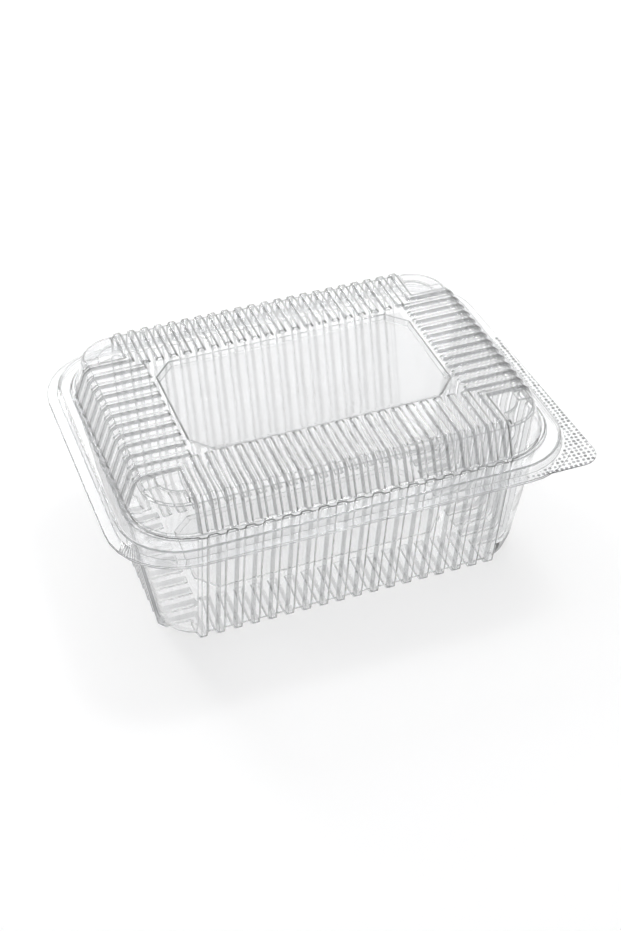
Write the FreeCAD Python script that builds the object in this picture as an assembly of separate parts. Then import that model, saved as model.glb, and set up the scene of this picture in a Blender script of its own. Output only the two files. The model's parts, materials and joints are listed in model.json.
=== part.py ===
"""Hinged clear food pack: a ribbed tub and a ribbed dome lid, formed from one sheet.

The frame: millimetres, +X along the long front, +Y towards the hinge at the back, +Z up.
The origin is on the table, under the middle of the rim.
"""
import FreeCAD, Part
import math
import os

from FreeCAD import Placement, Rotation, Vector

# The driving sizes, in millimetres, and counts.
SIZES = [
    ("sheet", 0.5),
    ("nest_gap", 0.3),
    ("corner_flats", 8),
    ("lip_length", 195.0),
    ("lip_depth", 150.4),
    ("lip_corner", 30.0),
    ("lip_height", 63.1),
    ("bead_height", 3.5),
    ("lip_width_ends", 4.9),
    ("lip_width_front", 4.6),
    ("bead_corner", 25.6),
    ("bead_draft", 0.7),
    ("ledge_width_ends", 5.6),
    ("ledge_width_front", 6.4),
    ("dome_corner", 24.0),
    ("dome_rise", 14.1),
    ("dome_lean_ends", 5.6),
    ("dome_lean_front", 5.5),
    ("crown_corner", 15.0),
    ("shoulder_bevel", 1.6),
    ("plinth_height", 1.6),
    ("plinth_reach", 1.5),
    ("lid_rib_width", 3.6),
    ("lid_rib_crest", 2.3),
    ("lid_rib_rise", 1.05),
    ("front_rib_count", 22),
    ("front_rib_pitch", 6.0),
    ("left_rib_count", 12),
    ("left_rib_pitch", 6.9),
    ("right_rib_count", 14),
    ("right_rib_pitch", 5.84),
    ("window_length", 111.4),
    ("window_depth", 61.0),
    ("window_chamfer_along", 7.6),
    ("window_chamfer_across", 8.7),
    ("window_drop", 2.0),
    ("window_slope", 0.8),
    ("window_border", 2.8),
    ("window_side_border", 2.0),
    ("step_drop", 1.0),
    ("step_radius", 10.0),
    ("step_centre_inset_x", 16.0),
    ("step_centre_inset_y", 16.4),
    ("notch_drop", 0.5),
    ("notch_width", 6.0),
    ("tub_lean_ends", 9.2),
    ("tub_lean_front", 12.6),
    ("tub_corner", 14.0),
    ("floor_lift", 1.5),
    ("heel_bevel", 2.6),
    ("heel_round_height", 8.0),
    ("heel_round", 7.0),
    ("tub_rib_width", 4.2),
    ("tub_rib_crest", 2.4),
    ("tub_front_count", 18),
    ("tub_side_count", 11),
    ("tub_rib_pitch", 7.44),
    ("tub_rib_root", 3.0),
    ("floor_rib_front", 23.0),
    ("floor_rib_ends", 17.5),
    ("panel_border", 3.5),
    ("panel_chamfer", 8.0),
    ("panel_slope", 1.2),
    ("tab_overhang", 2.6),
    ("tab_setback", 1.2),
    ("tab_corner", 8.0),
    ("tab_run", 114.0),
    ("fold_length", 120.0),
    ("fold_radius", 0.65),
    ("fold_clear", 0.1),
]


def make_sheet(doc):
    """The spreadsheet that holds the driving sizes."""
    sheet = doc.addObject("Spreadsheet::Sheet", "sizes")
    for row, (alias, value) in enumerate(SIZES, start=1):
        sheet.set("A%d" % row, alias)
        sheet.set("B%d" % row, str(value))
        sheet.setAlias("B%d" % row, alias)
    doc.recompute()
    return sheet


def formed_outline(length, depth, corner, height, flats):
    """The points of a rectangle whose corners turn in equal flats, so that drafted walls stay flat."""
    points = []
    count = int(round(flats))
    for sx, sy, start in ((1, -1, -90.0), (1, 1, 0.0), (-1, 1, 90.0), (-1, -1, 180.0)):
        centre = Vector(sx * (length / 2.0 - corner), sy * (depth / 2.0 - corner), height)
        for index in range(count + 1):
            angle = math.radians(start + 90.0 * index / count)
            points.append(centre + Vector(math.cos(angle), math.sin(angle), 0) * corner)
    return points


def stack(outlines):
    """A closed solid with flat sides between outlines that have the same number of points."""
    faces = []
    for lower, upper in zip(outlines, outlines[1:]):
        ring = list(zip(lower, upper))
        for (a, b), (c, d) in zip(ring, ring[1:] + ring[:1]):
            faces.append(Part.Face(Part.makePolygon([a, c, d, b, a])))
    for outline in (outlines[0], outlines[-1]):
        faces.append(Part.Face(Part.makePolygon(outline + [outline[0]])))
    solid = Part.Solid(Part.makeShell(faces))
    if solid.Volume < 0:
        solid.reverse()
    return solid


def plate(p, low, high):
    """The lip's flat band, filled in across the middle, between two heights."""
    outline = [p.lip_length, p.lip_depth, p.lip_corner]
    return stack([formed_outline(*outline, height, p.corner_flats) for height in (low, high)])


def offset_path(path, distance):
    """The path moved to its left by a distance, with mitred bends, as (out, height) pairs.

    The last stretch is level, so its end keeps its place along the path.
    """
    normals = []
    for (u0, z0), (u1, z1) in zip(path, path[1:]):
        run = math.hypot(u1 - u0, z1 - z0)
        normals.append((-(z1 - z0) / run, (u1 - u0) / run))
    moved = []
    first_u, first_z = path[0]
    nu, nz = normals[0]
    moved.append((first_u + distance / nu, first_z))
    for (u, z), (au, az), (bu, bz) in zip(path[1:-1], normals, normals[1:]):
        scale = distance / (1.0 + au * bu + az * bz)
        moved.append((u + scale * (au + bu), z + scale * (az + bz)))
    end_u, end_z = path[-1]
    moved.append((end_u, end_z + distance * normals[-1][1]))
    return moved


def rib(path, side, width, crest, rise, root):
    """One rib as a closed solid in its own frame: X across, Y outwards, Z up.

    path runs from the rim to the rib's inner end, and side is 1 where the outside of the
    sheet is on its left, or -1 where it is on its right. root is how far the solid reaches
    into the sheet, so that it also meets a wall that curves away from it at a corner.
    """
    low = offset_path(path, -side * root)
    high = offset_path(path, side * rise)
    slope = (width - crest) / 2.0
    deep = slope * root / rise
    low_half, high_half = width / 2.0 + deep, crest / 2.0
    low[-1] = (low[-1][0] - deep, low[-1][1])
    high[-1] = (high[-1][0] + slope, high[-1][1])
    rings = []
    for (low_out, low_z), (high_out, high_z) in zip(low, high):
        rings.append([Vector(low_half, low_out, low_z), Vector(-low_half, low_out, low_z),
                      Vector(-high_half, high_out, high_z), Vector(high_half, high_out, high_z)])
    return stack(rings)


def placed(shape, offset, turn_deg):
    """A copy of a rib, moved across by an offset and turned to face one side."""
    copy = shape.copy()
    copy.translate(Vector(offset, 0, 0))
    copy.rotate(Vector(0, 0, 0), Vector(0, 0, 1), turn_deg)
    return copy


def row_offsets(count, pitch):
    """The places of a row of evenly spaced ribs about the middle."""
    return [(index - (count - 1) / 2.0) * pitch for index in range(int(round(count)))]


def rib_row(count, pitch, turn_deg, long_rib, end_rib):
    """A row of ribs on one side; the first and last are the legs of the corner elbows."""
    ribs = []
    places = row_offsets(count, pitch)
    for place in places:
        pattern = end_rib if place in (places[0], places[-1]) else long_rib
        ribs.append(placed(pattern, place, turn_deg))
    return ribs


FRONT, RIGHT, BACK, LEFT = 180.0, -90.0, 0.0, 90.0


class Pack:
    """The sizes read from the sheet, and the places worked out from them."""

    def __init__(self, sheet):
        for alias, _ in SIZES:
            setattr(self, alias, float(getattr(sheet, alias)))
        self.bead_length = self.lip_length - 2.0 * self.lip_width_ends
        self.bead_depth = self.lip_depth - 2.0 * self.lip_width_front
        self.dome_length = self.bead_length - 2.0 * self.ledge_width_ends
        self.dome_depth = self.bead_depth - 2.0 * self.ledge_width_front
        self.crown_length = self.dome_length - 2.0 * self.dome_lean_ends
        self.crown_depth = self.dome_depth - 2.0 * self.dome_lean_front
        self.rim_length = self.dome_length - 2.0 * (self.sheet + self.nest_gap)
        self.rim_depth = self.dome_depth - 2.0 * (self.sheet + self.nest_gap)
        self.tub_length = self.rim_length - 2.0 * self.tub_lean_ends
        self.tub_depth = self.rim_depth - 2.0 * self.tub_lean_front
        self.tab_reach = self.lip_length / 2.0 + self.tab_overhang
        self.tab_front = self.lip_depth / 2.0 - self.tab_setback
        self.tab_start = self.tab_run - self.tab_front
        self.ledge_height = self.lip_height + self.bead_height
        self.crown_height = self.ledge_height + self.dome_rise
        self.base_lip_top = self.lip_height - self.sheet - self.nest_gap
        self.base_ledge = self.ledge_height - self.sheet - self.nest_gap
        self.hinge_height = (self.lip_height + self.base_lip_top - self.sheet) / 2.0
        self.hinge_back = self.lip_depth / 2.0 + self.fold_radius + self.fold_clear


def dome_levels(p, inset):
    """The dome's cross-sections from the ledge up: length, depth, corner and height."""
    top = p.crown_height - inset
    lean_x = p.dome_lean_ends / p.dome_rise
    lean_y = p.dome_lean_front / p.dome_rise
    wall_x = inset * math.sqrt(1.0 + lean_x ** 2)
    wall_y = inset * math.sqrt(1.0 + lean_y ** 2)
    drop = p.shoulder_bevel
    low = p.ledge_height - inset

    def level(height, extra):
        down = p.crown_height - height
        share = down / p.dome_rise
        corner = p.crown_corner + (p.dome_corner - p.crown_corner) * share - inset - extra
        length = p.crown_length + 2.0 * (lean_x * down - wall_x - extra)
        depth = p.crown_depth + 2.0 * (lean_y * down - wall_y - extra)
        return (length, depth, corner, height)

    return [level(low - p.sheet, 0.0), level(top - drop, 0.0), level(top, drop * 0.9)]


def dome_body(p, inset):
    """The smooth dome on its plinth, its skin moved in by an inset."""
    levels = dome_levels(p, inset)
    plinth_top = p.ledge_height + p.plinth_height - inset
    (length, depth, corner, foot), shoulder = levels[0], levels[1]
    share = (plinth_top - foot) / (shoulder[3] - foot)
    waist = [low + (high - low) * share for low, high in zip(levels[0], shoulder)]
    reach = p.plinth_reach
    plinth = []
    for at in (levels[0], waist):
        plinth.append((at[0] + 2.0 * reach, at[1] + 2.0 * reach, at[2] + reach, at[3]))
    outlines = plinth + [waist] + levels[1:]
    return stack([formed_outline(*level, p.corner_flats) for level in outlines])


def side_path(levels, index, tip):
    """The line that a rib follows over the dome or the tub: out and height, to its inner end."""
    path = [(level[index] / 2.0, level[3]) for level in levels]
    path.append((tip, levels[-1][3]))
    return path


def lid_ribs(p, inset):
    """The ribs that run up the dome's walls, over its shoulder and in along its top."""
    levels = dome_levels(p, inset)
    flank = math.atan2(p.lid_rib_rise, (p.lid_rib_width - p.lid_rib_crest) / 2.0)
    thin = 2.0 * inset * math.tan(flank / 2.0)
    width = p.lid_rib_width - thin
    crest = p.lid_rib_crest - thin
    root = p.sheet / 2.0
    first_side = (p.left_rib_count - 1) / 2.0 * p.left_rib_pitch
    first_front = (p.front_rib_count - 1) / 2.0 * p.front_rib_pitch
    front_tip = p.window_depth / 2.0 + p.window_border + thin / 2.0
    side_tip = p.window_length / 2.0 + p.window_side_border + thin / 2.0
    elbow_y = first_side - width / 2.0
    elbow_x = first_front - width / 2.0

    def make(index, tip):
        return rib(side_path(levels, index, tip), -1, width, crest, p.lid_rib_rise, root)

    long_front = make(1, front_tip)
    long_side = make(0, side_tip)
    end_front = make(1, elbow_y)
    end_side = make(0, elbow_x)
    ribs = []
    for turn in (FRONT, BACK):
        ribs += rib_row(p.front_rib_count, p.front_rib_pitch, turn, long_front, end_front)
    ribs += rib_row(p.left_rib_count, p.left_rib_pitch, LEFT, long_side, end_side)
    ribs += rib_row(p.right_rib_count, p.right_rib_pitch, RIGHT, long_side, end_side)
    return ribs


def octagon(half_x, half_y, along, across, height):
    """The points of a rectangle with straight chamfered corners."""
    points = []
    for sx, sy in ((1, -1), (1, 1), (-1, 1), (-1, -1)):
        pair = [(sx * (half_x - along), sy * half_y), (sx * half_x, sy * (half_y - across))]
        points += pair if sx * sy < 0 else pair[::-1]
    return [Vector(x, y, height) for x, y in points]


def window_recess(p, grow):
    """The sunken pane in the lid's top, its walls moved out by grow."""
    floor = p.crown_height - p.window_drop - grow
    top = p.crown_height + p.lid_rib_rise
    half_x, half_y = p.window_length / 2.0 + grow, p.window_depth / 2.0 + grow
    slope = p.window_slope
    along, across = p.window_chamfer_along, p.window_chamfer_across
    low = octagon(half_x - slope, half_y - slope, along, across, floor)
    rim = octagon(half_x, half_y, along, across, p.crown_height - grow)
    high = octagon(half_x, half_y, along, across, top)
    return stack([low, rim, high])


def corner_steps(p, grow):
    """The low stacking steps outside a quarter circle at each corner of the lid's top."""
    centre_x = p.crown_length / 2.0 - p.step_centre_inset_x
    centre_y = p.crown_depth / 2.0 - p.step_centre_inset_y
    rib_edge = (p.left_rib_count - 1) / 2.0 * p.left_rib_pitch + p.lid_rib_width / 2.0
    high = p.crown_height + p.lid_rib_rise
    reach = p.dome_corner + p.step_radius
    low = p.crown_height - p.step_drop - grow
    notch_low = p.crown_height - p.notch_drop - grow

    def block(near_x, near_y, long_x, long_y, floor, sx, sy):
        corner = Vector(min(sx * near_x, sx * (near_x + long_x)),
                        min(sy * near_y, sy * (near_y + long_y)), floor)
        return Part.makeBox(long_x, long_y, high - floor, corner)

    cuts = []
    for sx in (1, -1):
        for sy in (1, -1):
            step = block(centre_x + 1.0 - grow, rib_edge + p.notch_width - grow,
                         reach, reach, low, sx, sy)
            pillar = Part.makeCylinder(p.step_radius - grow, high - low,
                                       Vector(sx * centre_x, sy * centre_y, low))
            notch = block(centre_x + p.step_radius - grow, rib_edge + 0.6 - grow,
                          reach, p.notch_width + 2.0 * grow, notch_low, sx, sy)
            cuts.append(step.cut(pillar).fuse(notch))
    return cuts


def bead(p, inset, low, high):
    """The solid inside the rim's outer wall, between two heights, moved in by an inset."""
    drop_low = (p.ledge_height - low) / p.bead_height * p.bead_draft
    drop_high = (p.ledge_height - high) / p.bead_height * p.bead_draft
    outlines = []
    for height, flare in ((low, drop_low), (high, drop_high)):
        outlines.append(formed_outline(p.bead_length - 2.0 * inset + 2.0 * flare,
                                       p.bead_depth - 2.0 * inset + 2.0 * flare,
                                       p.bead_corner - inset + flare, height, p.corner_flats))
    return stack(outlines)


def tab_plate(p, low, high):
    """The pull tab at the lid's front right corner, with the lip's right edge beside it."""
    half_x = p.lip_length / 2.0
    root_x = half_x - p.lip_corner + math.sqrt(
        p.lip_corner ** 2 - (p.lip_corner - p.lip_depth / 2.0 + p.tab_front) ** 2)
    turn = p.tab_corner * (1.0 - math.sqrt(0.5))
    corner_a = Vector(p.tab_reach - p.tab_corner, -p.tab_front, low)
    corner_m = Vector(p.tab_reach - turn, -p.tab_front + turn, low)
    corner_b = Vector(p.tab_reach, -p.tab_front + p.tab_corner, low)
    back = Vector(half_x, p.tab_start, low)
    inner = Vector(half_x - p.lip_corner, p.tab_start, low)
    inner_front = Vector(half_x - p.lip_corner, -p.tab_front + p.lip_corner, low)
    root = Vector(root_x, -p.tab_front, low)
    edges = [
        Part.LineSegment(root, corner_a).toShape(),
        Part.Arc(corner_a, corner_m, corner_b).toShape(),
        Part.LineSegment(corner_b, back).toShape(),
        Part.LineSegment(back, inner).toShape(),
        Part.LineSegment(inner, inner_front).toShape(),
        Part.LineSegment(inner_front, root).toShape(),
    ]
    return Part.Face(Part.Wire(edges)).extrude(Vector(0, 0, high - low))


def lid_shape(p):
    """The dome lid with its rim, lip and pull tab."""
    lip_low = p.lip_height - p.sheet
    lip = plate(p, lip_low, p.lip_height)
    tab = tab_plate(p, lip_low, p.lip_height)
    outer = dome_body(p, 0.0)
    outer = outer.multiFuse(lid_ribs(p, 0.0) + [bead(p, 0.0, p.lip_height, p.ledge_height),
                                                lip, tab])
    outer = outer.cut(corner_steps(p, 0.0) + [window_recess(p, 0.0)])
    inner = dome_body(p, p.sheet)
    inner = inner.multiFuse(lid_ribs(p, p.sheet))
    inner = inner.cut(corner_steps(p, p.sheet) + [window_recess(p, p.sheet)])
    hollow = bead(p, p.sheet, lip_low - p.sheet, p.ledge_height - p.sheet)
    return outer.cut([inner, hollow]).removeSplitter()


def tub_levels(p, inset):
    """The tub's cross-sections from the ledge down: length, depth, corner and height."""
    floor = p.floor_lift + inset
    top = p.base_ledge
    fall = top - p.floor_lift
    rim_corner = p.dome_corner - p.sheet - p.nest_gap
    lean_x = p.tub_lean_ends / fall
    lean_y = p.tub_lean_front / fall
    wall_x = inset * math.sqrt(1.0 + lean_x ** 2)
    wall_y = inset * math.sqrt(1.0 + lean_y ** 2)

    def level(height, extra, rounder=0.0):
        up = height - p.floor_lift
        share = up / fall
        corner = p.tub_corner + (rim_corner - p.tub_corner) * share - inset - extra + rounder
        length = p.tub_length + 2.0 * (lean_x * up - wall_x - extra)
        depth = p.tub_depth + 2.0 * (lean_y * up - wall_y - extra)
        return (length, depth, corner, height)

    rim = top + (p.sheet if inset > 0.0 else 0.0)
    heel = floor + p.heel_bevel
    return [level(rim, 0.0), level(heel + p.heel_round_height, 0.0),
            level(heel, 0.0, p.heel_round * 0.45), level(floor, p.heel_bevel * 0.85, p.heel_round)]


def tub_body(p, inset):
    """The smooth tub, its skin moved in by an inset."""
    return stack([formed_outline(*level, p.corner_flats) for level in tub_levels(p, inset)])


def tub_ribs(p, inset):
    """The ribs that run down the tub's walls, round its heel and in under its floor."""
    levels = tub_levels(p, inset)
    del levels[1]
    rise = p.floor_lift
    flank = math.atan2(rise, (p.tub_rib_width - p.tub_rib_crest) / 2.0)
    thin = 2.0 * inset * math.tan(flank / 2.0)
    width = p.tub_rib_width - thin
    crest = p.tub_rib_crest - thin
    root = p.tub_rib_root
    first_side = (p.tub_side_count - 1) / 2.0 * p.tub_rib_pitch
    first_front = (p.tub_front_count - 1) / 2.0 * p.tub_rib_pitch
    front_tip = p.tub_depth / 2.0 - p.floor_rib_front + thin / 2.0
    side_tip = p.tub_length / 2.0 - p.floor_rib_ends + thin / 2.0

    def make(index, tip):
        return rib(side_path(levels, index, tip), 1, width, crest, rise, root)

    long_front = make(1, front_tip)
    long_side = make(0, side_tip)
    end_front = make(1, first_side - width / 2.0)
    end_side = make(0, first_front - width / 2.0)
    ribs = []
    for turn in (FRONT, BACK):
        ribs += rib_row(p.tub_front_count, p.tub_rib_pitch, turn, long_front, end_front)
    for turn in (LEFT, RIGHT):
        ribs += rib_row(p.tub_side_count, p.tub_rib_pitch, turn, long_side, end_side)
    return ribs


def floor_panel(p, inset):
    """The middle of the tub's floor, pressed down level with the ribs for the pack to stand on."""
    slope = p.panel_slope
    half_x = p.tub_length / 2.0 - p.floor_rib_ends - p.panel_border - inset * 0.5
    half_y = p.tub_depth / 2.0 - p.floor_rib_front - p.panel_border - inset * 0.5
    top = p.floor_lift + inset + p.sheet / 2.0
    wide = slope * (top - inset) / p.floor_lift
    chamfer = p.panel_chamfer
    low = octagon(half_x - slope, half_y - slope, chamfer, chamfer, inset)
    high = octagon(half_x - slope + wide, half_y - slope + wide, chamfer, chamfer, top)
    return stack([low, high])


def base_shape(p):
    """The tub with its rim, its lip and the hinge's fold along the back."""
    step_in = p.sheet + p.nest_gap
    lip_low = p.base_lip_top - p.sheet
    lip = plate(p, lip_low, p.base_lip_top)
    block = bead(p, step_in, p.base_lip_top, p.base_ledge)
    hollow = bead(p, step_in + p.sheet, lip_low - p.sheet, p.base_ledge - p.sheet)
    rim = lip.fuse(block).cut(hollow)
    strip = Part.makeBox(p.fold_length, p.hinge_back - p.lip_depth / 2.0 + p.sheet, p.sheet,
                         Vector(-p.fold_length / 2.0, p.lip_depth / 2.0 - p.sheet, lip_low))
    fold = Part.makeCylinder(p.fold_radius, p.fold_length,
                             Vector(-p.fold_length / 2.0, p.hinge_back, p.hinge_height),
                             Vector(1, 0, 0))
    outer = tub_body(p, 0.0).multiFuse(tub_ribs(p, 0.0) + [floor_panel(p, 0.0), rim, strip, fold])
    inner = tub_body(p, p.sheet).multiFuse(tub_ribs(p, p.sheet) + [floor_panel(p, p.sheet)])
    return outer.cut(inner).removeSplitter()


def add_piece(doc, label, shape):
    """One sub-part of the document, at its own place."""
    feature = doc.addObject("Part::Feature", label)
    feature.Label = label
    feature.Shape = shape
    feature.Placement = Placement(Vector(0, 0, 0), Rotation())
    return feature


def check(doc, pieces):
    """Stops the build if an object failed or a sub-part is not one sound solid."""
    for item in doc.Objects:
        bad = [state for state in item.State if state in ("Invalid", "Error")]
        if bad:
            raise RuntimeError("%s is %s" % (item.Label, bad))
    for piece in pieces:
        shape = piece.Shape
        if shape.isNull() or not shape.isValid() or len(shape.Solids) != 1:
            raise RuntimeError("%s is not one valid solid: %d" % (piece.Label, len(shape.Solids)))


def main():
    doc = FreeCAD.newDocument("clear_pack")
    p = Pack(make_sheet(doc))
    pieces = [add_piece(doc, "base", base_shape(p)), add_piece(doc, "lid", lid_shape(p))]
    doc.recompute()
    check(doc, pieces)
    os.makedirs("parts", exist_ok=True)
    for piece in pieces:
        piece.Shape.exportStep(os.path.join("parts", piece.Label + ".step"))


main()
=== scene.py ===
import json
import math

import bpy
from mathutils import Matrix, Vector

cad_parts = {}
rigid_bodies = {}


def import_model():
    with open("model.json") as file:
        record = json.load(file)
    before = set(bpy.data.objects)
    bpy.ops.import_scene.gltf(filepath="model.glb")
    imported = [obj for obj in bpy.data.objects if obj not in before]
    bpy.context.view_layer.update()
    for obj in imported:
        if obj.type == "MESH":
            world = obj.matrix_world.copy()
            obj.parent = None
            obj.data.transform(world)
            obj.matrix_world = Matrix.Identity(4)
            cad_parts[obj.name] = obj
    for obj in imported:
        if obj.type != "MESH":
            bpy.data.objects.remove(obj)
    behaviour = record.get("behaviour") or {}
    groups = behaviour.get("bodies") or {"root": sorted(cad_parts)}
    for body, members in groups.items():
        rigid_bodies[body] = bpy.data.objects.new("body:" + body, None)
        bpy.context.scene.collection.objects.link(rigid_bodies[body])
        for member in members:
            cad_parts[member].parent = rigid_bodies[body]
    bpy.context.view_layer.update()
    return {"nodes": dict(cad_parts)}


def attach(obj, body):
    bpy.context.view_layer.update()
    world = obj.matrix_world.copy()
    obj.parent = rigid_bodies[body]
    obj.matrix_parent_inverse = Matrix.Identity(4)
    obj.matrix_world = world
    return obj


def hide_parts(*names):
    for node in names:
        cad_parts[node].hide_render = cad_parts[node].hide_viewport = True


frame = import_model()

MM = 0.001

# The sheet's folds: their rounding, and the share of it where the sheet has no room.
FOLD_ROUND = 0.34 * MM
FOLD_SEGMENTS = 2
FOLD_ANGLE = math.radians(28.0)
TIGHT_SHARE = 0.5
SMOOTH_ANGLE = math.radians(50.0)
FLAT_ANGLE = math.radians(0.5)
MERGE_WIDTH = 0.000002
FACE_WEIGHT = 80

# Where the tight folds lie, in millimetres: heights, and distances from the middle.
BASE_LIP_HEIGHTS = (61.0, 63.5)
HINGE_FRONT = 74.0
LID_LIP_TOP = 64.0
PLINTH_HEIGHTS = (67.5, 68.4)
STEP_CORNER = (65.0, 38.5)
STEP_FOOT = 78.0

# The ribs' flanks, which get painted shade, in millimetres: the front and back rows, then the rows
# at the ends.
LONG_ROWS_END = 64.6
LONG_ROWS_INNER = 27.0
END_ROWS_END = 40.2
END_ROWS_INNER = 55.0
FLANK_TILT = (0.8, 0.89)

# The pull tab's grip dots: the rim's corner that bounds them, their own sizes, and the dark grey
# painted shade on them.
BEAD_TURN = (67.0 * MM, 45.0 * MM)
BEAD_REACH = 27.2 * MM
GRIP_END = 20.0 * MM
GRIP_PITCH = 2.1 * MM
GRIP_SCATTER = 0.25
GRIP_SIZE = 0.34
GRIP_RISE = 0.0003
# Painted shade on the dots.
GRIP_PAINTED_SHADE = (0.25, 0.255, 0.26, 1.0)

# The window's flat pane.
PANE_HALF = (54.8 * MM, 29.7 * MM)
PANE_ROUGHNESS = 0.07
PANE_TONE = (0.84, 0.843, 0.847, 1.0)

# The clear plastic, and the slight waves that forming leaves in it.
PLASTIC_IOR = 1.575
RIPPLE_SCALE = 55.0
RIPPLE_DETAIL = 2.0
RIPPLE_STRENGTH = 0.25
RIPPLE_DEPTH = 0.0012
LAMPS_THROUGH = (0.945, 0.945, 0.945, 1.0)

# The studio.
TABLE_SIZE = 60.0
TABLE_WHITE = (0.98, 0.98, 0.98, 1.0)
BACKDROP_WHITE = (1.0, 1.0, 1.0, 1.0)
MIRRORED_FRONT = (0.4, (0.05, 0.05, 0.055, 1.0))
MIRRORED_BACK = (0.75, (0.42, 0.42, 0.42, 1.0))
MIRRORED_STRENGTH = 0.9
CAMERA_PLACE = (-0.1879, -0.5419, 0.49235)
CAMERA_TURN = -19.34
CAMERA_DIP = 38.61
CAMERA_ROLL = -1.31
CAMERA_LENS = 44.47
SENSOR_HEIGHT = 24.0
SHEET_BOUNCES = 28
MIRROR_BOUNCES = 10
PASSING_LAYERS = 40

# Each lamp: its name, its place, the height it faces, its width, its height and its power.
LAMPS = (
    ("lamp_overhead", (0.2, 0.3, 2.4), 0.04, 2.6, 2.6, 28.5),
    ("lamp_key", (0.75, 0.5, 2.6), 0.04, 0.45, 0.45, 24.0),
    ("lamp_back_strip", (-0.75, 1.95, 1.65), 0.06, 0.25, 1.1, 20.0),
    ("lamp_left", (-2.2, 0.6, 1.6), 0.04, 0.3, 0.8, 6.0),
    ("lamp_back_panel", (0.65, 1.9, 1.55), 0.08, 2.0, 1.3, 5.0),
)


def deselect_all():
    """Nothing stays selected, so an operator touches only its own piece."""
    if bpy.context.object and bpy.context.object.mode != "OBJECT":
        bpy.ops.object.mode_set(mode="OBJECT")
    bpy.ops.object.select_all(action="DESELECT")


def activate(piece):
    """Makes one piece the only selected and the active one."""
    deselect_all()
    piece.hide_set(False)
    piece.select_set(True)
    bpy.context.view_layer.objects.active = piece


# Materials.

def new_material(name):
    """An empty node material and its output node."""
    material = bpy.data.materials.new(name)
    material.use_nodes = True
    tree = material.node_tree
    tree.nodes.clear()
    output = tree.nodes.new("ShaderNodeOutputMaterial")
    return material, tree, output


def maths(tree, operation, *inputs):
    """One maths node, whose inputs are sockets or plain numbers."""
    node = tree.nodes.new("ShaderNodeMath")
    node.operation = operation
    for slot, value in enumerate(inputs):
        if isinstance(value, float):
            node.inputs[slot].default_value = value
        else:
            tree.links.new(value, node.inputs[slot])
    return node.outputs["Value"]


def split_axes(tree, vector):
    """The X, Y and Z sockets of a vector."""
    split = tree.nodes.new("ShaderNodeSeparateXYZ")
    tree.links.new(vector, split.inputs["Vector"])
    return split.outputs["X"], split.outputs["Y"], split.outputs["Z"]


def bump(tree, height, strength, distance, below=None):
    """A bump from a height, on top of another bump where one is given."""
    node = tree.nodes.new("ShaderNodeBump")
    node.inputs["Strength"].default_value = strength
    node.inputs["Distance"].default_value = distance
    tree.links.new(height, node.inputs["Height"])
    if below:
        tree.links.new(below, node.inputs["Normal"])
    return node.outputs["Normal"]


def tone_mix(tree, share, over):
    """A colour mix: its node, with the share and the colour that it mixes in."""
    node = tree.nodes.new("ShaderNodeMix")
    node.data_type = "RGBA"
    tree.links.new(share, node.inputs["Factor"])
    node.inputs["B"].default_value = over
    return node


def grip_dots(tree, place):
    """Raised grip dots on the pull tab: 1 on a dot, 0 between them and off the tab."""
    across, deep, _ = split_axes(tree, place)
    along = maths(tree, "MAXIMUM", maths(tree, "SUBTRACT", across, BEAD_TURN[0]), 0.0)
    ahead = maths(tree, "MAXIMUM", maths(tree, "SUBTRACT", -BEAD_TURN[1], deep), 0.0)
    outside = tree.nodes.new("ShaderNodeCombineXYZ")
    tree.links.new(along, outside.inputs["X"])
    tree.links.new(ahead, outside.inputs["Y"])
    reach = tree.nodes.new("ShaderNodeVectorMath")
    reach.operation = "LENGTH"
    tree.links.new(outside.outputs["Vector"], reach.inputs[0])
    beyond = maths(tree, "GREATER_THAN", reach.outputs["Value"], BEAD_REACH)
    right = maths(tree, "GREATER_THAN", across, BEAD_TURN[0])
    front = maths(tree, "LESS_THAN", deep, GRIP_END)
    grid = tree.nodes.new("ShaderNodeTexVoronoi")
    grid.feature = "F1"
    grid.inputs["Scale"].default_value = 1.0 / GRIP_PITCH
    grid.inputs["Randomness"].default_value = GRIP_SCATTER
    tree.links.new(place, grid.inputs["Vector"])
    dot = maths(tree, "LESS_THAN", grid.outputs["Distance"], GRIP_SIZE)
    area = maths(tree, "MULTIPLY", beyond, maths(tree, "MULTIPLY", right, front))
    return maths(tree, "MULTIPLY", area, dot)


def pane_area(tree, place):
    """1 within the window's flat pane and 0 elsewhere."""
    across, deep, _ = split_axes(tree, place)
    within = [maths(tree, "LESS_THAN", maths(tree, "ABSOLUTE", distance), half)
              for distance, half in zip((across, deep), PANE_HALF)]
    return maths(tree, "MULTIPLY", *within)


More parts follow.
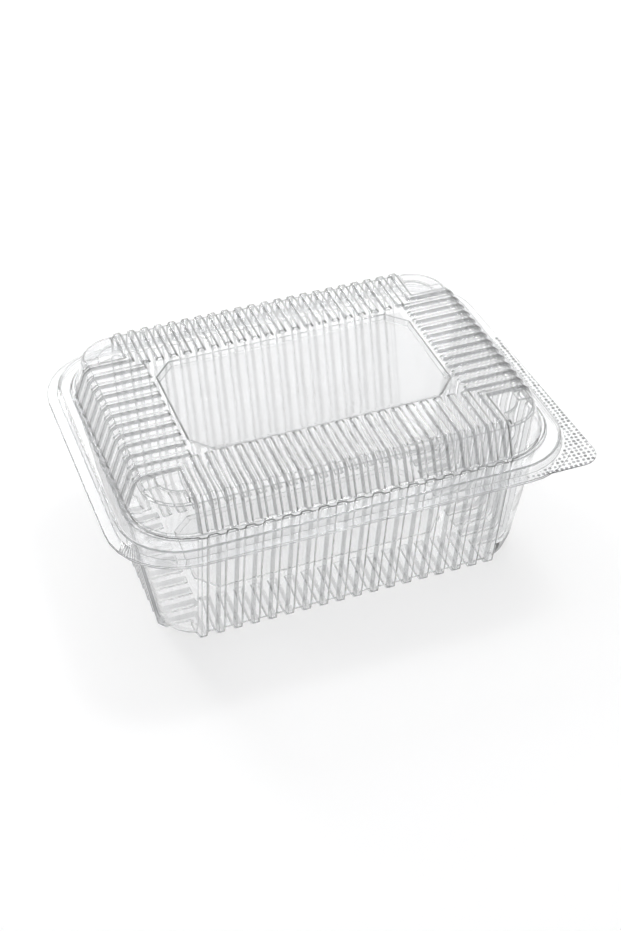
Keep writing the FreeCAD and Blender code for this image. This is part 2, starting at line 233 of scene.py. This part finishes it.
def clear_sheet(name, tint, lid_details=False):
    """Clear glossy plastic: it bends and mirrors light, and lets the lamps' light through.

    The lid's own sheet also has the window's pane, slightly hazy and grey, and the tab's dots,
    which are coloured dark grey as painted shade.
    """
    material, tree, output = new_material(name)
    nodes, links = tree.nodes, tree.links
    body = nodes.new("ShaderNodeBsdfPrincipled")
    body.inputs["Base Color"].default_value = (*tint, 1.0)
    body.inputs["Roughness"].default_value = 0.0
    body.inputs["IOR"].default_value = PLASTIC_IOR
    body.inputs["Transmission Weight"].default_value = 1.0
    place = nodes.new("ShaderNodeTexCoord").outputs["Object"]
    ripple = nodes.new("ShaderNodeTexNoise")
    ripple.inputs["Scale"].default_value = RIPPLE_SCALE
    ripple.inputs["Detail"].default_value = RIPPLE_DETAIL
    links.new(place, ripple.inputs["Vector"])
    surface = bump(tree, ripple.outputs["Fac"], RIPPLE_STRENGTH, RIPPLE_DEPTH)
    if lid_details:
        pane = pane_area(tree, place)
        links.new(maths(tree, "MULTIPLY", pane, PANE_ROUGHNESS), body.inputs["Roughness"])
        pane_tone = tone_mix(tree, pane, PANE_TONE)
        pane_tone.inputs["A"].default_value = (*tint, 1.0)
        dots = grip_dots(tree, place)
        surface = bump(tree, dots, 1.0, GRIP_RISE, surface)
        # Painted shade: the dots are coloured dark grey.
        dot_painted_shade = tone_mix(tree, dots, GRIP_PAINTED_SHADE)
        links.new(pane_tone.outputs["Result"], dot_painted_shade.inputs["A"])
        links.new(dot_painted_shade.outputs["Result"], body.inputs["Base Color"])
    links.new(surface, body.inputs["Normal"])
    passing = nodes.new("ShaderNodeBsdfTransparent")
    passing.inputs["Color"].default_value = LAMPS_THROUGH
    rays = nodes.new("ShaderNodeLightPath").outputs
    onward = maths(tree, "MAXIMUM", rays["Is Shadow Ray"], rays["Is Diffuse Ray"])
    mix = nodes.new("ShaderNodeMixShader")
    links.new(onward, mix.inputs["Fac"])
    links.new(body.outputs["BSDF"], mix.inputs[1])
    links.new(passing.outputs["BSDF"], mix.inputs[2])
    links.new(mix.outputs["Shader"], output.inputs["Surface"])
    return material


def floor_white():
    """The matt white studio table."""
    material, tree, output = new_material("studio_floor_white")
    face = tree.nodes.new("ShaderNodeBsdfDiffuse")
    face.inputs["Color"].default_value = TABLE_WHITE
    tree.links.new(face.outputs["BSDF"], output.inputs["Surface"])
    return material


# The two formed halves.

def tight_fold(node_name, start, end):
    """Whether a fold lies where the sheet has no room for the full rounding."""
    low, high = min(start.z, end.z) / MM, max(start.z, end.z) / MM
    if node_name == "base":
        on_lip = BASE_LIP_HEIGHTS[0] < low and high < BASE_LIP_HEIGHTS[1]
        return on_lip or min(start.y, end.y) / MM > HINGE_FRONT
    far_x = min(abs(start.x), abs(end.x)) / MM > STEP_CORNER[0]
    far_y = min(abs(start.y), abs(end.y)) / MM > STEP_CORNER[1]
    on_step = far_x and far_y and low > STEP_FOOT
    on_plinth = PLINTH_HEIGHTS[0] < low and high < PLINTH_HEIGHTS[1]
    return high < LID_LIP_TOP or on_plinth or on_step


def paint_shade_on_flanks(sheet):
    """Gives the ribs' steep flanks the folds' darker material: painted shade for the dark lines
    that bending light draws on them.
    """
    for face in sheet.data.polygons:
        x, y = abs(face.center.x) / MM, abs(face.center.y) / MM
        tilts = []
        if x < LONG_ROWS_END and y > LONG_ROWS_INNER:
            tilts.append(abs(face.normal.x))
        if y < END_ROWS_END and x > END_ROWS_INNER:
            tilts.append(abs(face.normal.y))
        if any(FLANK_TILT[0] < tilt < FLANK_TILT[1] for tilt in tilts):
            face.material_index = 1


def weigh_folds(sheet, node_name):
    """Marks every fold for rounding, and the tight ones for their share of it."""
    bpy.ops.object.mode_set(mode="EDIT")
    bpy.ops.mesh.select_mode(type="EDGE")
    bpy.ops.mesh.select_all(action="DESELECT")
    bpy.ops.mesh.edges_select_sharp(sharpness=FOLD_ANGLE)
    bpy.ops.transform.edge_bevelweight(value=1.0)
    bpy.ops.object.mode_set(mode="OBJECT")
    points = sheet.data.vertices
    for edge in sheet.data.edges:
        start, end = (points[index].co for index in edge.vertices)
        edge.select = edge.select and tight_fold(node_name, start, end)
    bpy.ops.object.mode_set(mode="EDIT")
    bpy.ops.transform.edge_bevelweight(value=TIGHT_SHARE - 1.0)
    bpy.ops.mesh.select_mode(type="VERT")
    bpy.ops.object.mode_set(mode="OBJECT")


def formed_sheet(node_name, material, painted_fold_shade):
    """One half of the pack from its CAD shell, with every fold of the sheet rounded, and the folds
    and the ribs' flanks in the darker second material, which is painted shade.
    """
    node = frame["nodes"][node_name]
    activate(node)
    bpy.ops.object.duplicate(linked=False)
    sheet = bpy.context.object
    sheet.name = "formed_" + node_name
    bpy.ops.object.parent_clear(type="CLEAR_KEEP_TRANSFORM")
    bpy.ops.object.transform_apply(location=True, rotation=True, scale=True)
    bpy.ops.object.mode_set(mode="EDIT")
    bpy.ops.mesh.select_all(action="SELECT")
    bpy.ops.mesh.customdata_custom_splitnormals_clear()
    bpy.ops.mesh.remove_doubles(threshold=MERGE_WIDTH)
    bpy.ops.mesh.dissolve_limited(angle_limit=FLAT_ANGLE)
    bpy.ops.mesh.vert_connect_concave()
    bpy.ops.object.mode_set(mode="OBJECT")
    sheet.data.materials.clear()
    sheet.data.materials.append(material)
    sheet.data.materials.append(painted_fold_shade)
    paint_shade_on_flanks(sheet)
    weigh_folds(sheet, node_name)
    folds = sheet.modifiers.new("rounded_folds", "BEVEL")
    folds.width = FOLD_ROUND
    folds.segments = FOLD_SEGMENTS
    folds.limit_method = "WEIGHT"
    folds.use_clamp_overlap = False
    folds.miter_outer = "MITER_ARC"
    # The rounded folds take the darker second material: painted shade.
    folds.material = 1
    bpy.ops.object.modifier_apply(modifier="rounded_folds")
    bpy.ops.object.shade_smooth_by_angle(angle=SMOOTH_ANGLE)
    level = sheet.modifiers.new("flat_faces_stay_flat", "WEIGHTED_NORMAL")
    level.mode = "FACE_AREA"
    level.weight = FACE_WEIGHT
    level.keep_sharp = True
    bpy.ops.object.modifier_apply(modifier="flat_faces_stay_flat")
    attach(sheet, node_name)
    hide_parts(node_name)


# The studio: table, lamps, world and camera.

def make_floor():
    """A wide flat table that the pack stands on."""
    deselect_all()
    bpy.ops.mesh.primitive_plane_add(size=TABLE_SIZE, location=(0.0, 0.0, 0.0))
    table = bpy.context.object
    table.name = "studio_table"
    table.data.materials.append(floor_white())


def area_lamp(name, place, aim_height, width, height, power):
    """A soft rectangular lamp that faces a point over the middle of the table."""
    data = bpy.data.lights.new(name, "AREA")
    data.shape = "RECTANGLE"
    data.size = width
    data.size_y = height
    data.energy = power
    lamp = bpy.data.objects.new(name, data)
    bpy.context.scene.collection.objects.link(lamp)
    lamp.location = place
    aim = Vector((0.0, 0.0, aim_height)) - Vector(place)
    lamp.rotation_mode = "QUATERNION"
    lamp.rotation_quaternion = aim.to_track_quat("-Z", "Y")


def make_world():
    """White where it is seen straight on or through the sheet, and a soft grey ramp in what
    the sheet mirrors, darker on the front side, so that edges and flanks show."""
    world = bpy.data.worlds.new("studio_world")
    bpy.context.scene.world = world
    world.use_nodes = True
    tree = world.node_tree
    nodes, links = tree.nodes, tree.links
    nodes.clear()
    output = nodes.new("ShaderNodeOutputWorld")
    white = nodes.new("ShaderNodeBackground")
    white.inputs["Color"].default_value = BACKDROP_WHITE
    mirrored = nodes.new("ShaderNodeBackground")
    mirrored.inputs["Strength"].default_value = MIRRORED_STRENGTH
    _, depth, _ = split_axes(tree, nodes.new("ShaderNodeTexCoord").outputs["Generated"])
    ramp = nodes.new("ShaderNodeValToRGB")
    for stop, (position, colour) in zip(ramp.color_ramp.elements, (MIRRORED_FRONT, MIRRORED_BACK)):
        stop.position = position
        stop.color = colour
    links.new(maths(tree, "MULTIPLY_ADD", depth, 0.5, 0.5), ramp.inputs["Fac"])
    links.new(ramp.outputs["Color"], mirrored.inputs["Color"])
    rays = nodes.new("ShaderNodeLightPath").outputs
    straight = maths(tree, "MAXIMUM", rays["Is Camera Ray"], rays["Is Transmission Ray"])
    mix = nodes.new("ShaderNodeMixShader")
    links.new(straight, mix.inputs["Fac"])
    links.new(mirrored.outputs["Background"], mix.inputs[1])
    links.new(white.outputs["Background"], mix.inputs[2])
    links.new(mix.outputs["Shader"], output.inputs["Surface"])


def make_camera():
    """The photograph's viewpoint."""
    data = bpy.data.cameras.new("photo_camera")
    data.sensor_fit = "VERTICAL"
    data.sensor_height = SENSOR_HEIGHT
    data.lens = CAMERA_LENS
    data.clip_start = 0.05
    data.clip_end = 100.0
    camera = bpy.data.objects.new("photo_camera", data)
    bpy.context.scene.collection.objects.link(camera)
    camera.location = CAMERA_PLACE
    turn = Matrix.Rotation(math.radians(CAMERA_TURN), 3, "Z")
    tilt = Matrix.Rotation(math.radians(90.0 - CAMERA_DIP), 3, "X")
    roll = Matrix.Rotation(math.radians(CAMERA_ROLL), 3, "Z")
    camera.rotation_euler = (turn @ tilt @ roll).to_euler()
    bpy.context.scene.camera = camera


def set_up_light():
    """Soft lamps over the table, and enough bounces for the layers of clear sheet."""
    for lamp in LAMPS:
        area_lamp(*lamp)
    cycles = bpy.context.scene.cycles
    cycles.caustics_reflective = False
    cycles.caustics_refractive = False
    cycles.max_bounces = SHEET_BOUNCES
    cycles.transmission_bounces = SHEET_BOUNCES
    cycles.glossy_bounces = MIRROR_BOUNCES
    cycles.transparent_max_bounces = PASSING_LAYERS


# The clear tints are the sheet's own; the folds' much darker tints are painted shade along the
# rounded folds and the ribs' flanks, standing in for the dark lines that bending light draws
# there.
base_clear = clear_sheet("clear_sheet_base", (0.97, 0.972, 0.974))
base_painted_fold_shade = clear_sheet("clear_sheet_base_painted_fold_shade", (0.71, 0.715, 0.72))
lid_clear = clear_sheet("clear_sheet_lid", (0.955, 0.957, 0.96), lid_details=True)
lid_painted_fold_shade = clear_sheet("clear_sheet_lid_painted_fold_shade", (0.54, 0.545, 0.55))
formed_sheet("base", base_clear, base_painted_fold_shade)
formed_sheet("lid", lid_clear, lid_painted_fold_shade)

make_floor()
make_world()
set_up_light()
make_camera()
bpy.context.scene.view_settings.view_transform = "Standard"
